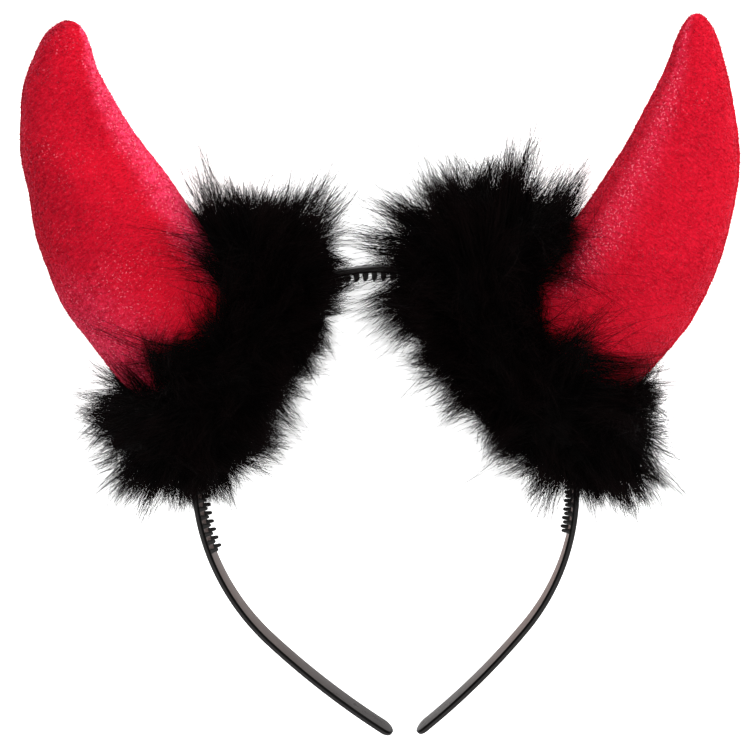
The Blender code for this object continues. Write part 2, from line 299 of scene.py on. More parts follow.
def arc_starts():
    """For each arc its centre, its radius, the length at which it starts and the turn there"""
    centre, length, turn = np.array((0.0, -CROWN_RADIUS)), 0.0, 0.0
    starts = []
    for number, (radius, sweep) in enumerate(ARCS):
        starts.append((centre, radius, length, turn))
        length += radius * sweep
        turn += sweep
        following = ARCS[min(number + 1, len(ARCS) - 1)][0]
        centre = centre + (radius - following) * np.array((sin(turn), cos(turn)))
    return starts


def band_line(lengths):
    """Points of the centreline and outward directions, at lengths that are negative on the left"""
    lengths = np.asarray(lengths, float)
    side, run = np.where(lengths < 0, -1.0, 1.0), np.abs(lengths)
    points, outward = np.zeros((len(run), 3)), np.zeros((len(run), 3))
    for centre, radius, start, start_turn in arc_starts():
        on = run >= start
        turn = start_turn + (run[on] - start) / radius
        outward[on] = np.stack((side[on] * np.sin(turn), np.cos(turn), 0 * turn), axis=1)
        points[on] = outward[on] * radius
        points[on] += np.stack((side[on] * centre[0], centre[1] + 0 * turn, 0 * turn), axis=1)
    return points, outward


print(f"band {2 * HALF_BAND * 1000:.0f} mm along its curve")

# %% [markdown]
# The strip is a rounded rectangle swept along that line. A cube with a bevel and a curve modifier
# would do it too, but the two ends are half circles that also thin out, and a sweep whose width
# and thickness are formulas says so directly. Stations crowd together at the ends, where the
# outline turns quickly. The strip also keeps which of its points are on the inner face and how
# strong the reflection painted there is: more on the right leg than on the left, and hardly at
# the two ends. It also keeps which points lie on the rounded edges beside that face, which get
# painted shade.

# %% The strip
STRIP_ROUNDING = 0.00070
STRIP_STATION = 0.0012
CORNER_POINTS = 6
END_POINTS = 14
END_THINNING = 0.45
# An end stops this share short of its full length, so that its last section isn't a point
END_STUB = 0.0005
# Points this much past the flat part of a side already count as rounded
PAST_FLAT = 1.001
UP = np.array((0, 0, 1.0))
# Length from the crown, and how strong the reflection painted on the inner face is there
INNER_REFLECTION = np.array((
    (-0.195, 0.03), (-0.175, 0.08), (-0.150, 0.24), (-0.128, 0.37),
    (0.128, 1.00), (0.150, 0.66), (0.175, 0.12), (0.195, 0.04),
))


def strip_stations():
    """Lengths along the band, even over its run and closing up towards its two ends"""
    straight = HALF_BAND - BAND_WIDTH / 2
    run = np.linspace(-straight, straight, int(2 * straight / STRIP_STATION))
    end = straight + BAND_WIDTH / 2 * np.sin(np.linspace(0, pi / 2, END_POINTS)[1:])
    end[-1] = HALF_BAND - BAND_WIDTH * END_STUB
    return np.concatenate((-end[::-1], run, end))


def strip_section(half_thickness, half_width):
    """A rounded rectangle for each station, as rows of how far out and how far up"""
    corners = []
    rounding = np.minimum(STRIP_ROUNDING, np.minimum(half_thickness, half_width) * 0.9)
    for number, (out, up) in enumerate(((1, 1), (-1, 1), (-1, -1), (1, -1))):
        for turn in np.linspace(number * pi / 2, (number + 1) * pi / 2, CORNER_POINTS):
            corners.append((
                out * (half_thickness - rounding) + rounding * np.cos(turn),
                up * (half_width - rounding) + rounding * np.sin(turn),
            ))
    return np.array(corners)


# The outline is full along the run and closes as a quarter circle towards each end
stations = strip_stations()
middle, outward = band_line(stations)
short = np.clip((np.abs(stations) - HALF_BAND + BAND_WIDTH / 2) / (BAND_WIDTH / 2), 0, 1)
closing = np.sqrt(1 - short**2)
half_widths = BAND_WIDTH / 2 * closing
half_thicknesses = BAND_THICKNESS / 2 * (1 - END_THINNING * (1 - closing))
sections = strip_section(half_thicknesses, half_widths)
strip = (
    middle[:, None, :]
    + outward[:, None, :] * sections[:, 0].T[:, :, None]
    + UP * sections[:, 1].T[:, :, None]
).reshape(-1, 3)
strip = np.vstack((strip, middle[0], middle[-1]))
strip_piece = mesh_piece(
    "band_strip", strip, *tube_faces(len(stations), len(sections), flip=True),
    PLASTIC, "band_plastic", "band",
)
flat_width = np.clip(half_widths - STRIP_ROUNDING, 0, None) * PAST_FLAT
flat_thickness = np.clip(half_thicknesses - STRIP_ROUNDING, 0, None) * PAST_FLAT
inward, past_width = sections[:, 0] < 0, np.abs(sections[:, 1]) > flat_width
past_both = past_width & (np.abs(sections[:, 0]) > flat_thickness)
# Painted reflection: its strength along the band, read from the table
reflection_shares = np.interp(stations, INNER_REFLECTION[:, 0], INNER_REFLECTION[:, 1])
add_values(
    strip_piece,
    inner_face=np.append((inward & ~past_width).T * reflection_shares[:, None], (0, 0)),
    # The rounded edges beside the inner face get painted shade
    rounded=np.append((inward & past_both).T, (0, 0)),
)

# %% [markdown]
# The comb is two rows of small pegs on the inner face. Each peg comes out of the mould with a
# fillet at its root, a slight taper so that it lets go of the steel, and a rounded tip that does
# not scratch the scalp. One turned profile with eight sides is copied to every place on the line
# by arithmetic on whole arrays, which is quicker than an Array modifier and keeps its spacing on
# the curve exact.

# %% The comb teeth
COMB_SWEEP = radians(104)
TOOTH_PITCH = 0.00275
ROW_SPACING = 0.0043
TOOTH_SIDES = 8
# How high over the inner face, and how wide, both in millimetres
TOOTH_PROFILE = np.array((
    (-0.30, 1.00), (0.02, 0.95), (0.16, 0.80), (0.40, 0.72), (1.10, 0.64),
    (1.75, 0.57), (2.05, 0.48), (2.22, 0.33), (2.30, 0.10),
)) / 1000
# Three quads close the eight points at the tip
TIP_QUADS = ((0, 1, 2, 3), (0, 3, 4, 7), (4, 5, 6, 7))

comb_half = CROWN_RADIUS * CROWN_SWEEP + SIDE_RADIUS * (COMB_SWEEP - CROWN_SWEEP)
steps = int(comb_half / TOOTH_PITCH)
tooth_lengths = np.repeat(np.arange(-steps, steps + 1) * TOOTH_PITCH, 2)
foot, out = band_line(tooth_lengths)
along_band = np.stack((out[:, 1], -out[:, 0], 0 * out[:, 0]), axis=1)
foot = foot - out * BAND_THICKNESS / 2
foot[:, 2] += np.tile((-0.5, 0.5), 2 * steps + 1) * ROW_SPACING
turns = 2 * pi * np.arange(TOOTH_SIDES) / TOOTH_SIDES
tooth_points = (
    foot[:, None, None, :]
    - out[:, None, None, :] * TOOTH_PROFILE[None, :, None, :1]
    + along_band[:, None, None, :] * (TOOTH_PROFILE[:, 1:] * np.cos(turns))[None, :, :, None]
    + UP * (TOOTH_PROFILE[:, 1:] * np.sin(turns))[None, :, :, None]
)
per_tooth = len(TOOTH_PROFILE) * TOOTH_SIDES
tooth_starts = np.arange(len(foot)) * per_tooth
side_quads = ring_quads(len(TOOTH_PROFILE), TOOTH_SIDES)
tip_quads = np.array(TIP_QUADS) + per_tooth - TOOTH_SIDES
tooth_quads = [
    (tooth_starts[:, None, None] + quads).reshape(-1, 4) for quads in (side_quads, tip_quads)
]
mesh_piece(
    "band_comb_teeth", tooth_points.reshape(-1, 3), np.vstack(tooth_quads), (),
    PLASTIC, "band_plastic", "band",
)

# %% [markdown]
# Shapes like a curved horn are set by a short table: how the curl, the width and the depth change
# from foot to tip. A designer reads such a table as a smooth line through its rows. The same
# reading serves the horns here and the furs below, for a whole array of places at a time.

# %% Reading a table smoothly
def read_table(rows, column, at, loop=False):
    """A column of a table at places of its first column, on a smooth curve through the rows"""
    table = np.array(rows, float)
    at = np.asarray(at, float)
    if loop:
        at, once_around = at % 1.0, np.eye(table.shape[1])[0]
        table = np.vstack((table[-1] - once_around, table, table[:2] + once_around))
    places, values = table[:, 0], table[:, column]
    last = len(places) - 1
    lower, upper = np.maximum(np.arange(last + 1) - 1, 0), np.minimum(np.arange(last + 1) + 1, last)
    slopes = (values[upper] - values[lower]) / (places[upper] - places[lower])
    k = np.clip(np.searchsorted(places, at, side="right") - 1, 0, last - 1)
    span = places[k + 1] - places[k]
    t = (at - places[k]) / span
    return (
        values[k] * (2 * t**3 - 3 * t**2 + 1)
        + values[k + 1] * (3 * t**2 - 2 * t**3)
        + slopes[k] * span * (t**3 - 2 * t**2 + t)
        + slopes[k + 1] * span * (t**3 - t**2)
    )


# %% [markdown]
# Each horn is cut from two crescent panels of velvet, sewn edge to edge and stuffed. It stands
# with its flat foot square on the band, curls towards the crown and leans a little to the front.
# Its spine is walked in short steps, each in the direction that the table gives, and oval
# sections hang on the spine. The two horns of the pair differ, as hand-stuffed ones do: the left
# one is fuller and blunter, the right one slimmer and straighter.

# %% Sizes of the horns
HORNS = {
    "left": {
        "side": -1, "seat": radians(54), "twist": radians(0), "curl": radians(83),
        "lean": radians(10), "length": 0.110, "width": 0.049, "depth": 0.030,
    },
    "right": {
        "side": 1, "seat": radians(59), "twist": radians(6.5), "curl": radians(66),
        "lean": radians(10), "length": 0.108, "width": 0.046, "depth": 0.030,
    },
}
# Shares: how far up the horn, of the curl, of the width at the foot, of the depth at the foot
CURL, WIDTH, DEPTH = 1, 2, 3
HORN_SECTIONS = {
    "left": (
        (0.00, 0.00, 0.97, 0.90), (0.12, 0.14, 1.00, 1.00), (0.25, 0.29, 0.98, 1.00),
        (0.40, 0.41, 0.93, 0.95), (0.55, 0.46, 0.81, 0.84), (0.70, 0.53, 0.65, 0.69),
        (0.82, 0.69, 0.48, 0.53), (0.92, 0.87, 0.31, 0.37), (1.00, 1.00, 0.22, 0.27),
    ),
    "right": (
        (0.00, 0.00, 0.97, 0.90), (0.12, 0.17, 1.00, 1.00), (0.25, 0.34, 0.98, 1.00),
        (0.40, 0.52, 0.92, 0.94), (0.55, 0.66, 0.78, 0.81), (0.70, 0.79, 0.60, 0.64),
        (0.82, 0.88, 0.42, 0.47), (0.92, 0.95, 0.26, 0.31), (1.00, 1.00, 0.18, 0.22),
    ),
}
# The horn leans over its lowest quarter and goes on straight from there
LEAN_SHARE = 0.25
# The highest part of the horn, over which its sections close to a round tip
TIP_SHARE = 0.08
PIECE_GAP = 0.0003
SPINE_STEPS = 400


def seat_matrix(name):
    """From the frame of a horn's seat, whose Y axis points out from the head, to the band's"""
    horn = HORNS[name]
    length = CROWN_RADIUS * CROWN_SWEEP + SIDE_RADIUS * (horn["seat"] - CROWN_SWEEP)
    point, _ = band_line([horn["side"] * length])
    turn = -horn["side"] * (horn["seat"] + horn["twist"])
    return Matrix.Translation(Vector(point[0])) @ Matrix.Rotation(turn, 4, "Z")


def horn_directions(name, along):
    """Ahead along the spine, across towards the crown, and to the front, in the seat's frame"""
    horn = HORNS[name]
    curl = read_table(HORN_SECTIONS[name], CURL, along) * horn["curl"]
    lean = np.minimum(1, along / LEAN_SHARE) * horn["lean"]
    nothing = 0 * along
    crownward = np.array((-horn["side"], 0.0, 0.0))
    outward = np.stack((nothing, np.cos(lean), np.sin(lean)), axis=1)
    ahead = outward * np.cos(curl)[:, None] + crownward * np.sin(curl)[:, None]
    across = crownward * np.cos(curl)[:, None] - outward * np.sin(curl)[:, None]
    return ahead, across, np.stack((nothing, -np.sin(lean), np.cos(lean)), axis=1)


def horn_frames(name, along):
    """Spine points, the three directions, half widths and half depths, in the seat's frame"""
    horn = HORNS[name]
    steps = np.linspace(0, 1, SPINE_STEPS + 1)
    walked, _, _ = horn_directions(name, (steps[1:] + steps[:-1]) / 2)
    foot_level = SIDE_RADIUS * (1 - cos(horn["twist"])) + BAND_THICKNESS / 2 + PIECE_GAP
    spine = np.vstack(((0, 0, 0), np.cumsum(walked, axis=0) * horn["length"] / SPINE_STEPS))
    spine[:, 1] += foot_level
    at = np.stack([np.interp(along, steps, spine[:, axis]) for axis in range(3)], axis=1)
    rounding = np.sqrt(1 - np.clip((along - 1 + TIP_SHARE) / TIP_SHARE, 0, 1) ** 2)
    half_width = read_table(HORN_SECTIONS[name], WIDTH, along) * horn["width"] / 2 * rounding
    half_depth = read_table(HORN_SECTIONS[name], DEPTH, along) * horn["depth"] / 2 * rounding
    return at, horn_directions(name, along), half_width, half_depth


for name in HORNS:
    spine, _, _, _ = horn_frames(name, np.array((0.0, 1.0)))
    reach = np.linalg.norm(spine[1] - spine[0])
    print(f"horn {name}: {HORNS[name]['length'] * 1000:.0f} mm long, tip {reach * 1000:.0f} mm away")

# %% [markdown]
# Stuffing never fills velvet evenly. It leaves broad soft swells, and where the two panels meet,
# the thread pulls the edge into a narrow welt with a shallow valley and small gathers beside it.
# These are modelled in the mesh, because they show in the outline. A few smooth waves in random
# directions make a good model of uneven stuffing: unlike a noise texture they need no lookup, and
# the same numbers come out each time.

# %% Soft waves
WAVES = 7
# How many times as fast as asked for a single wave may swing
WAVE_RANGE = 0.7, 1.4


def waves(points, wavelength, seed):
    """A smooth random field of vectors of about unit size, as a sum of waves"""
    luck = np.random.default_rng(seed)
    total = np.zeros((len(points), 3))
    for _ in range(WAVES):
        direction = luck.normal(size=3)
        direction *= 2 * pi / wavelength * luck.uniform(*WAVE_RANGE) / np.linalg.norm(direction)
        push = luck.normal(size=3) * (2 / WAVES) ** 0.5
        total += np.sin(points @ direction + luck.uniform(0, 2 * pi))[:, None] * push
    return total


# %% [markdown]
# The skin of a horn is a grid of sections and turns. The turns crowd together at the two seams, so
# that the welt is drawn with few points, and the sections crowd together over the tip. Each
# point keeps how far up the horn it lies, how near to a seam, and whether it faces the crown or
# the front, because the velvet's colour depends on these.

# %% The horn skins
SKIN_STATIONS = 170
SKIN_TIP_STATIONS = 16
SKIN_SIDES = 104
SEAM_CROWDING = 0.36
SEAM_HEIGHT = 0.00042
SEAM_WIDTH = 0.00060
VALLEY_DEPTH = 0.00035
VALLEY_WIDTH = 0.0022
GATHER_LENGTH = 0.0048
GATHER_HEIGHT = 0.00005
GATHER_WANDER = 2.5
GATHER_SEED = 5
SWELL_HEIGHT = 0.00032
SWELL_LENGTH = 0.026
SWELL_SEEDS = {"left": 11, "right": 17}
EDGE_PINCH = 0.14
# Half widths are taken as no smaller than this, so that nothing is divided by 0
SMALLEST = 1e-5


def unit(vectors):
    """Rows of vectors, each made one long"""
    return vectors / np.linalg.norm(vectors, axis=1)[:, None]


def horn_stations():
    """Shares of the horn's length, even over its body and closing up towards its tip"""
    body = np.linspace(0, 1 - TIP_SHARE, SKIN_STATIONS)[:-1]
    tip = 1 - TIP_SHARE * (1 - np.sin(np.linspace(0, pi / 2, SKIN_TIP_STATIONS)))
    tip[-1] = 1 - TIP_SHARE * END_STUB
    return np.concatenate((body, tip))


def horn_surface(name, along, turn):
    """Points of a horn's skin in the seat's frame, and the directions that they face"""
    horn = HORNS[name]
    spine, (_, across, front), half_width, half_depth = horn_frames(name, along)
    pinched = np.sin(turn) * np.abs(np.sin(turn)) ** EDGE_PINCH
    points = (
        spine
        + across * (half_width * np.cos(turn))[:, None]
        + front * (half_depth * pinched)[:, None]
    )
    facing = unit(
        across * (np.cos(turn) / np.maximum(half_width, SMALLEST))[:, None]
        + front * (np.sin(turn) / np.maximum(half_depth, SMALLEST))[:, None]
    )
    from_seam = np.abs(half_depth * pinched)
    welt = SEAM_HEIGHT * np.exp(-((from_seam / SEAM_WIDTH) ** 2))
    valley = VALLEY_DEPTH * np.exp(-(((from_seam - VALLEY_WIDTH / 2) / VALLEY_WIDTH) ** 2) * 2)
    wander = GATHER_WANDER * waves(points, GATHER_LENGTH * 4, GATHER_SEED)[:, 0]
    gather = np.sin(2 * pi * along * horn["length"] / GATHER_LENGTH + wander)
    gather *= GATHER_HEIGHT * np.exp(-from_seam / (3 * VALLEY_WIDTH))
    swell = SWELL_HEIGHT * waves(points, SWELL_LENGTH, SWELL_SEEDS[name])[:, 0]
    # All of it fades where the horn is less than half as wide as at its foot
    fading = np.clip(half_width / horn["width"] * 4, 0, 1)
    height = (welt - valley + gather) * fading + swell * fading
    return points + facing * height[:, None], facing, from_seam


def make_horn(name, finish):
    """The closed skin of one horn, with the values that its velvet reads"""
    stations = horn_stations()
    even = 2 * pi * np.arange(SKIN_SIDES) / SKIN_SIDES
    turns = even - SEAM_CROWDING * np.sin(2 * even)
    along, turn = (grid.ravel() for grid in np.meshgrid(stations, turns, indexing="ij"))
    points, _, from_seam = horn_surface(name, along, turn)
    spine, _, _, _ = horn_frames(name, stations[[0, -1]])
    points = transformed(np.vstack((points, spine)), seat_matrix(name))
    quads, caps = tube_faces(len(stations), SKIN_SIDES, flip=HORNS[name]["side"] < 0)
    skin = mesh_piece(
        f"horn_{name}_skin", points, quads, caps, finish, "horn_velvet", f"horn_{name}"
    )
    add_values(
        skin,
        along=np.append(along, (0, 1)),
        to_crown=np.append(np.cos(turn), (0, 0)),
        to_front=np.append(np.sin(turn), (0, 0)),
        from_seam=np.append(from_seam, (0.01, 0.01)) * 1000,
        tone=np.full(len(points), 0.5),
    )


# %% [markdown]
# Velvet is a carpet of short upright threads. Looked at square on, one sees between them into
# deep red, and at a slant one sees their lit sides, which are pink. Sheen in the shader gives
# that for any light and any view. On top of it the colour carries the real cloth's mottled nap,
# pressed one way or the other, and its fine slanting rows from the loom, and painted glints:
# single bright points and threads in lively patches between quiet ones. A pink sheen is painted
# along the inner curve and at the outer side of the foot, painted shade darkens the outer edge of
# the left horn and the crown-side edge of the right one, and painted light makes the right one
# lighter all over. The two horns differ in this painted light and shade and a little in their
# cloth, so one function makes both velvets and a short table of strengths says how they differ.

# %% Red velvet
# Colours from the deepest to the brightest, then the seam's and the sheen's
DEEP_REDS = (0.430, 0.0014, 0.0120, 1), (0.600, 0.0036, 0.0180, 1)
# Painted shade: the darker red towards the left horn's outer edge and along the right horn's
# crown-side edge
SHADED_RED = (0.200, 0.0012, 0.0090, 1)
FRESH_RED = (0.710, 0.0090, 0.0300, 1)
WORN_RED = (0.220, 0.0006, 0.0060, 1)
LIT_RED = (0.880, 0.0220, 0.0600, 1)
# Painted sheen: the pink along the inner curve and at the outer side of the foot
PAINTED_SHEEN_PINK = (0.920, 0.055, 0.150, 1)
# Painted glints: pale pink points of the weave and single threads
GLINT_PINK = (1.000, 0.210, 0.290, 1)
SEAM_RED = (0.160, 0.004, 0.012, 1)
SHEEN_PINK = (1.0, 0.20, 0.36, 1)
ROW_SIZES = (1 / 380, 1 / 1900, 1 / 900)
VELVET_RELIEF = 0.00040
VELVET_VALUES = ("along", "to_crown", "to_front", "from_seam", "tone")
# For each horn: where its painted pink sheen starts and is full, from the outer edge at -1 to the
# crown side at 1; how strong that painted sheen is; how dark the painted shade on the very edge on
# the crown side is; how much painted sheen it gets at the foot; how dark the painted shade towards
# the outer edge is; how much painted light makes it lighter all over; how wide its quiet patches
# are; and how its rows slant
VELVET_LOOKS = {
    "left": dict(
        sheen_from=0.59, sheen_to=0.97, sheen_strength=1.0, edge_shade=0.0, foot_sheen=0.55,
        outer_shade=0.72, painted_light=0.0, quiet=0.46, row_slant=radians(32),
    ),
    "right": dict(
        sheen_from=0.10, sheen_to=0.70, sheen_strength=0.35, edge_shade=0.9, foot_sheen=0.10,
        outer_shade=0.0, painted_light=0.22, quiet=0.56, row_slant=radians(-38),
    ),
}


def velvet_finish(
    name, sheen_from, sheen_to, sheen_strength, edge_shade, foot_sheen, outer_shade, painted_light, quiet, row_slant
):
    """The velvet of one horn, with its look from the table"""
    velvet = Finish(name)
    where = velvet.place()
    along, to_crown, to_front, from_seam, tone = map(velvet.value_of, VELVET_VALUES)

    # The cloth: pressed patches, single threads, and slanting rows
    pressed = velvet.step(velvet.noise(where, 55.0, 4.0, 0.6), 0.30, 0.72)
    nap = velvet.step(velvet.noise(where, 1000.0, 2.0, 0.6), 0.30, 0.70)
    slanted = velvet.node(
        "ShaderNodeMapping",
        {"vector_type": "TEXTURE"},
        {"Vector": where, "Rotation": (0, 0, row_slant), "Scale": ROW_SIZES},
    )
    rows = velvet.step(velvet.noise(slanted, 1.0, 2.0), 0.38, 0.66)
    patches = velvet.noise(where, 210.0, 4.0, 0.65)

    # Painted sheen: pink along the inner curve down to the fur, and at the outer side of the foot,
    # kept off the crown-side edge where painted shade lies.
    # The patches add 0.17 on average, so both limits are that much higher
    inner = velvet.step(to_crown + patches * 0.35, sheen_from + 0.17, sheen_to + 0.17)
    # Painted shade along the very edge on the crown side
    edge = velvet.step(to_crown + patches * 0.15, 0.70, 0.95) * edge_shade
    inner = inner * velvet.step(along, 0.06, 0.30) * velvet.step(to_front, -0.75, 0.05) * (1 - edge)
    foot = velvet.step(0.46 - along + patches * 0.25, 0.10, 0.40)
    foot = foot * velvet.step(0.3 - to_crown, 0.0, 1.1)
    painted_sheen = inner + foot * foot_sheen
    # Painted shade towards the outer edge
    outer = velvet.step(-1 * to_crown, -0.3, 1.0)

    # Painted glints: single points of the weave and a few of the threads, in lively patches
    lively = velvet.step(velvet.noise(where, 75.0, 4.0, 0.6) + painted_sheen * 0.50, quiet, quiet + 0.28)
    sparks = velvet.step(velvet.noise(where, 1700.0, 1.0) + painted_sheen * 0.05, 0.63, 0.73)
    glint = (sparks * 0.78 + velvet.step(tone, 0.82, 0.90) * 0.35) * (0.14 + lively * 0.86)

    # The colour, from the deepest layer to the brightest
    deep = velvet.blend(pressed, *DEEP_REDS)
    # Painted shade on the outer side and on the crown-side edge
    shaded = velvet.blend(outer * outer_shade + edge * 0.9, deep, SHADED_RED)
    # The real rows and nap, plus painted light that makes the right horn lighter all over
    red = velvet.blend(rows * 0.32 + nap * 0.34 + painted_light, shaded, FRESH_RED)
    worn = velvet.blend((0.5 - tone) * 0.9, red, WORN_RED)
    lit = velvet.blend((tone - 0.5) * 0.5, worn, LIT_RED)
    # Painted sheen: pink over the inner curve and the foot
    pink = velvet.blend(painted_sheen * (nap * 0.75 + tone * 0.55) * sheen_strength, lit, PAINTED_SHEEN_PINK)
    # Painted glints over the colour
    bright = velvet.blend(glint * (0.75 + painted_sheen * 0.25), pink, GLINT_PINK)
    seam = 1 - velvet.step(from_seam, 0.06, 0.30)
    relief = nap * 0.6 + rows * 0.30 + velvet.noise(where, 3200.0, 1.0) * 0.4
    return velvet.surface({
        "Base Color": velvet.blend(seam * 0.20, bright, SEAM_RED),
        "Roughness": 0.90 - glint * 0.35,
        "Specular IOR Level": 0.05,
        "Sheen Weight": 0.45,
        "Sheen Roughness": 0.25,
        "Sheen Tint": SHEEN_PINK,
        "Normal": velvet.relief(relief, VELVET_RELIEF, 0.9),
    })


VELVETS = {name: velvet_finish(f"red_velvet_{name}", **look) for name, look in VELVET_LOOKS.items()}
for name in HORNS:
    make_horn(name, VELVETS[name])

# %% [markdown]
# Seen against the light, the edge of velvet is never a sharp line: its threads stand out as a
# short fuzz. A smooth skin cannot show that, so a thin coat of real threads grows on the horns.
# Each is a single sliver of a triangle half a millimetre long, leaning up the horn, which is the
# cheapest shape that still catches light and breaks the outline. Each keeps a tone of its own,
# so that dark, plain and bright threads stand side by side.

# %% The nap of the velvet
NAP_THREADS = 62000
NAP_LENGTH, NAP_LENGTHS = 0.00052, (0.6, 1.2)
NAP_WIDTH = 0.00022
NAP_LEAN = 0.55
NAP_SWIRL, SWIRL_LENGTH, SWIRL_SEED = 0.35, 0.015, 31
NAP_DISORDER = 0.35
NAP_BURIED = 0.15
NAP_SEEDS = {"left": 21, "right": 22}
# The share of a parameter's range over which the growth of a surface is measured
SMALL_STEP = 1e-4
# The stretch of a horn and the turns around it that carry nap
NAP_FROM, NAP_TO = (0.04, 0.0), (0.998, 2 * pi)


def even_places(surface, count, luck, low, high):
    """Random places of a surface's two parameters, spread evenly over its area"""
    tries = luck.uniform(low, high, (count * 3, 2))
    step = (np.array(high) - np.array(low)) * SMALL_STEP
    here = surface(tries[:, 0], tries[:, 1])
    one = surface(tries[:, 0] + step[0], tries[:, 1]) - here
    two = surface(tries[:, 0], tries[:, 1] + step[1]) - here
    area = np.linalg.norm(np.cross(one, two), axis=1)
    return tries[luck.choice(len(tries), count, replace=False, p=area / area.sum())]


def slivers(feet, tips, width, luck):
    """One thin triangle from each foot to its tip"""
    way = tips - feet
    aside = np.cross(way, luck.normal(size=way.shape))
    aside *= width / 2 / np.linalg.norm(aside, axis=1)[:, None]
    points = np.stack((feet - aside, feet + aside, tips), axis=1).reshape(-1, 3)
    return points, np.arange(len(points)).reshape(-1, 3)


def make_nap(name, finish):
    """The coat of threads of one horn, with the values that its velvet reads"""
    luck = np.random.default_rng(NAP_SEEDS[name])
    places = even_places(
        lambda along, turn: horn_surface(name, along, turn)[0], NAP_THREADS, luck, NAP_FROM, NAP_TO
    )
    along, turn = places.T
    points, facing, from_seam = horn_surface(name, along, turn)
    ahead, _, _ = horn_directions(name, along)
    lean = ahead * NAP_LEAN + waves(points, SWIRL_LENGTH, SWIRL_SEED) * NAP_SWIRL
    way = unit(facing + (lean + luck.normal(size=points.shape) * NAP_DISORDER))
    lengths = NAP_LENGTH * luck.uniform(*NAP_LENGTHS, len(points))
    feet = points - facing * NAP_LENGTH * NAP_BURIED
    threads, triangles = slivers(feet, points + way * lengths[:, None], NAP_WIDTH, luck)
    threads = transformed(threads, seat_matrix(name))
    nap = mesh_piece(
        f"horn_{name}_nap", threads, (), triangles, finish, "horn_velvet", f"horn_{name}", smooth=False
    )
    add_values(
        nap,
        along=np.repeat(along, 3),
        to_crown=np.repeat(np.cos(turn), 3),
        to_front=np.repeat(np.sin(turn), 3),
        from_seam=np.repeat(from_seam, 3) * 1000,
        tone=np.repeat(luck.random(len(along)), 3),
    )


for name in HORNS:
    make_nap(name, VELVETS[name])

# %% [markdown]
# The fur is a strip of long-haired fake fur sewn into a ring around the foot of each horn. Like the
# horns it follows a short table: how far it reaches out from the horn, how far it rises up the
# horn and how far it falls past the band, going once around from the crown side by way of the
# front. It is low at the front, where the red must show, and high behind and at both sides. A
# second function keeps all of it where fur can be: outside the horn and the band, over the table
# and within the bulk of the real fur.

# %% The rings of fur
FURS = {
    "left": {"reach": 0.0150, "rise": 0.0230, "fall": 0.0190, "seed": 3},
    "right": {"reach": 0.0180, "rise": 0.0250, "fall": 0.0250, "seed": 8},
}
# Turn around the horn from its crown side by way of the front, then shares of reach, rise and fall
REACH, RISE, FALL = 1, 2, 3
FUR_SECTIONS = {
    "left": (
        (0.00, 1.78, 1.18, 1.00), (0.12, 1.35, 0.46, 1.03), (0.25, 0.85, 0.55, 1.03),
        (0.38, 1.05, 0.78, 1.02), (0.50, 1.45, 1.15, 0.98), (0.75, 0.80, 0.90, 0.95),
    ),
    "right": (
        (0.00, 1.90, 1.25, 1.05), (0.12, 1.35, 0.50, 1.00), (0.25, 0.85, 0.50, 0.94),
        (0.38, 1.05, 0.68, 0.72), (0.50, 1.38, 1.00, 0.56), (0.75, 0.70, 0.90, 0.95),
    ),
}
LOCK_LENGTH = 0.0075
FUR_INNER = 0.0070
# Height over the table, and distance to either side of the middle
HIGHEST_HAIR = 0.0715
WIDEST_HAIR = 0.1120
# The share of a horn that its fur can touch, and how many sections of it are looked at
HORN_IN_FUR, HORN_IN_FUR_STATIONS = 0.6, 40
LEAST_RADIUS = 0.05


def fur_shape(name, around, angle):
    """The ring's middle line, and the point of its backing at an angle up from outwards"""
    fur, horn, rows = FURS[name], HORNS[name], FUR_SECTIONS[name]
    turn = 2 * pi * around
    half_width, half_depth = horn["width"] / 2, horn["depth"] / 2
    nothing = 0 * turn
    wall = np.stack((half_width * np.cos(turn), nothing, half_depth * np.sin(turn)), axis=1)
    away = unit(np.stack((np.cos(turn) / half_width, nothing, np.sin(turn) / half_depth), axis=1))
    top, bottom, out = (
        fur[size] * read_table(rows, column, around, loop=True) - LOCK_LENGTH / 2
        for size, column in (("rise", RISE), ("fall", FALL), ("reach", REACH))
    )
    sideways = np.where(np.cos(angle) > 0, out, FUR_INNER) * np.cos(angle)
    middle = wall + np.stack((nothing, (top - bottom) / 2, nothing), axis=1)
    rim = middle + away * sideways[:, None]
    rim[:, 1] += (top + bottom) / 2 * np.sin(angle)
    middle[:, 0] *= -horn["side"]
    rim[:, 0] *= -horn["side"]
    return middle, rim


